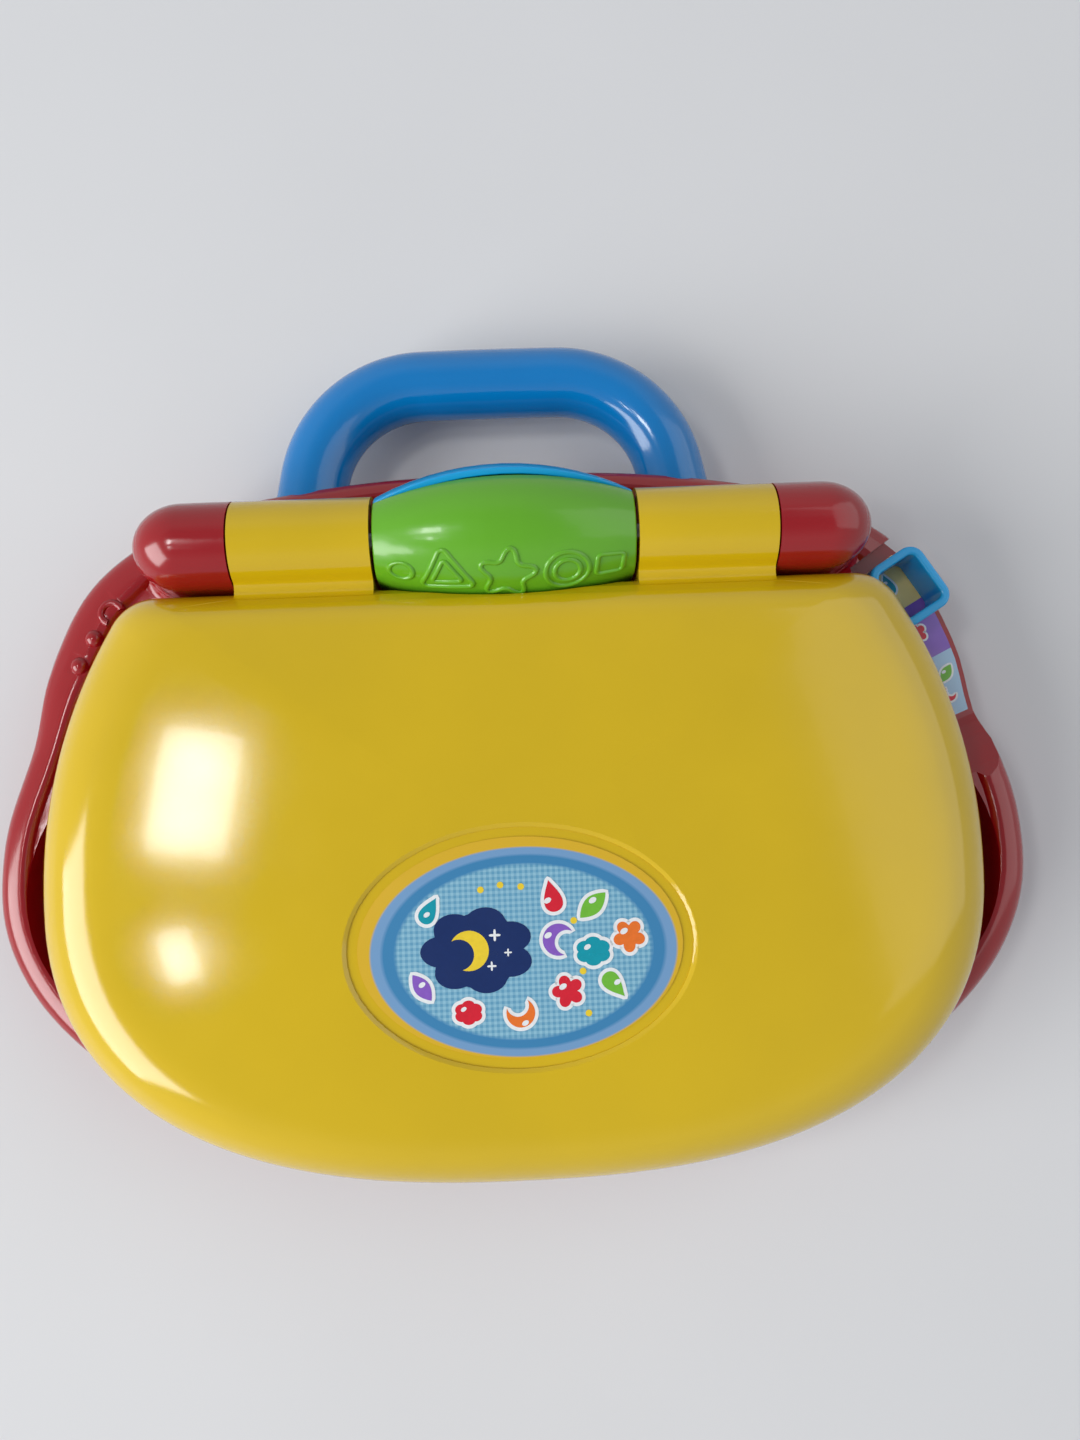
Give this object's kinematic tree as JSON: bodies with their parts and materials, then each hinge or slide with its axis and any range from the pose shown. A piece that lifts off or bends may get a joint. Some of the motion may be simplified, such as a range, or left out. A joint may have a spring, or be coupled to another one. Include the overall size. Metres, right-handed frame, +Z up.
{
  "type": "toy laptop computer",
  "caption": "Child's toy laptop with a hinged lid, a screen, shape keys, a sliding mode knob and a fixed carry handle.",
  "frame": {"origin": "on the table, under the middle of the closed toy's bounding box", "axes": "+X to the toy's right as its user sits at it, +Y to the rear where the hinge and the handle are, +Z up"},
  "size_m": [0.2914, 0.239, 0.064],
  "materials": {
    "red_plastic": "glossy moulded ABS",
    "yellow_plastic": "glossy moulded ABS with a very fine grain",
    "blue_plastic": "glossy moulded ABS",
    "green_plastic": "glossy moulded ABS",
    "cyan_plastic": "glossy moulded ABS",
    "white_plastic": "satin moulded ABS",
    "orange_plastic": "glossy moulded ABS",
    "purple_plastic": "glossy moulded ABS",
    "teal_plastic": "glossy moulded ABS",
    "heart_red_plastic": "glossy moulded ABS",
    "steel": "bright zinc plate",
    "plated_steel": "nickel plate",
    "cell_jacket": "satin shrink jacket",
    "circuit_board": "solder mask",
    "speaker_parts": "black paint",
    "reed_glass": "smooth",
    "mode_print": "gloss laminated print",
    "lid_print": "gloss laminated print",
    "silicone": "matt silicone",
    "clear_window": "clear polished styrene",
    "display_glass": "smooth LCD glass",
    "magnet": "nickel plate"
  },
  "bodies": {
    "base": {"base_bottom": "red_plastic", "base_top": "red_plastic", "keyboard_plate": "white_plastic", "handle": "blue_plastic", "hinge_cover_front": "green_plastic", "hinge_cover_rear": "cyan_plastic", "hinge_pins": "steel", "battery_door": "red_plastic", "door_screw": "steel", "batteries": "cell_jacket", "battery_contacts": "plated_steel", "case_screws": "steel", "main_board": "circuit_board", "speaker": "speaker_parts", "speaker_clamp": "steel", "reed_switch": "reed_glass", "mode_label": "mode_print", "mode_board": "circuit_board", "power_board": "circuit_board", "dome_heart": "silicone", "dome_triangle": "silicone", "dome_oval": "silicone", "dome_square": "silicone", "dome_star": "silicone", "dome_circle": "silicone", "dome_diamond": "silicone", "dome_rectangle": "silicone", "dome_hexagon": "silicone"},
    "lid": {"lid_cover": "yellow_plastic", "lid_panel": "white_plastic", "screen_bezel": "blue_plastic", "screen_window": "clear_window", "display": "display_glass", "display_board": "circuit_board", "lid_label": "lid_print", "lid_screws": "steel", "lid_magnet": "magnet"},
    "mode_slider": {"mode_knob": "cyan_plastic", "mode_carriage": "white_plastic"},
    "power_slider": {"power_knob": "orange_plastic"},
    "heart_key": {"key_heart": "heart_red_plastic"},
    "triangle_key": {"key_triangle": "green_plastic"},
    "oval_key": {"key_oval": "purple_plastic"},
    "square_key": {"key_square": "teal_plastic"},
    "star_key": {"key_star": "orange_plastic"},
    "circle_key": {"key_circle": "heart_red_plastic"},
    "diamond_key": {"key_diamond": "green_plastic"},
    "rectangle_key": {"key_rectangle": "orange_plastic"},
    "hexagon_key": {"key_hexagon": "purple_plastic"}
  },
  "joints": [
    {"name": "lid_hinge", "type": "hinge", "parent": "base", "child": "lid", "pos_m": [0, 0.0515, 0.046], "axis": [-1, 0, 0], "range_deg": [0, 115]},
    {"name": "mode_slide", "type": "hinge", "parent": "base", "child": "mode_slider", "pos_m": [-0.08152, -0.08211, 0.019], "axis": [0, 0, 1], "range_deg": [-7.2, 0.7]},
    {"name": "power_slide", "type": "slide", "parent": "base", "child": "power_slider", "axis": [1, 0, 0], "range_m": [-0.005, 0.005]},
    {"name": "heart_press", "type": "slide", "parent": "base", "child": "heart_key", "axis": [0, 0, -1], "range_m": [0, 0.0025], "stiffness_N_per_m": 400, "springref_m": -0.001, "deforming": ["dome_heart"]},
    {"name": "triangle_press", "type": "slide", "parent": "base", "child": "triangle_key", "axis": [0, 0, -1], "range_m": [0, 0.0025], "stiffness_N_per_m": 400, "springref_m": -0.001, "deforming": ["dome_triangle"]},
    {"name": "oval_press", "type": "slide", "parent": "base", "child": "oval_key", "axis": [0, 0, -1], "range_m": [0, 0.0025], "stiffness_N_per_m": 400, "springref_m": -0.001, "deforming": ["dome_oval"]},
    {"name": "square_press", "type": "slide", "parent": "base", "child": "square_key", "axis": [0, 0, -1], "range_m": [0, 0.0025], "stiffness_N_per_m": 400, "springref_m": -0.001, "deforming": ["dome_square"]},
    {"name": "star_press", "type": "slide", "parent": "base", "child": "star_key", "axis": [0, 0, -1], "range_m": [0, 0.0025], "stiffness_N_per_m": 400, "springref_m": -0.001, "deforming": ["dome_star"]},
    {"name": "circle_press", "type": "slide", "parent": "base", "child": "circle_key", "axis": [0, 0, -1], "range_m": [0, 0.0025], "stiffness_N_per_m": 400, "springref_m": -0.001, "deforming": ["dome_circle"]},
    {"name": "diamond_press", "type": "slide", "parent": "base", "child": "diamond_key", "axis": [0, 0, -1], "range_m": [0, 0.0025], "stiffness_N_per_m": 400, "springref_m": -0.001, "deforming": ["dome_diamond"]},
    {"name": "rectangle_press", "type": "slide", "parent": "base", "child": "rectangle_key", "axis": [0, 0, -1], "range_m": [0, 0.0025], "stiffness_N_per_m": 400, "springref_m": -0.001, "deforming": ["dome_rectangle"]},
    {"name": "hexagon_press", "type": "slide", "parent": "base", "child": "hexagon_key", "axis": [0, 0, -1], "range_m": [0, 0.0025], "stiffness_N_per_m": 400, "springref_m": -0.001, "deforming": ["dome_hexagon"]}
  ]
}
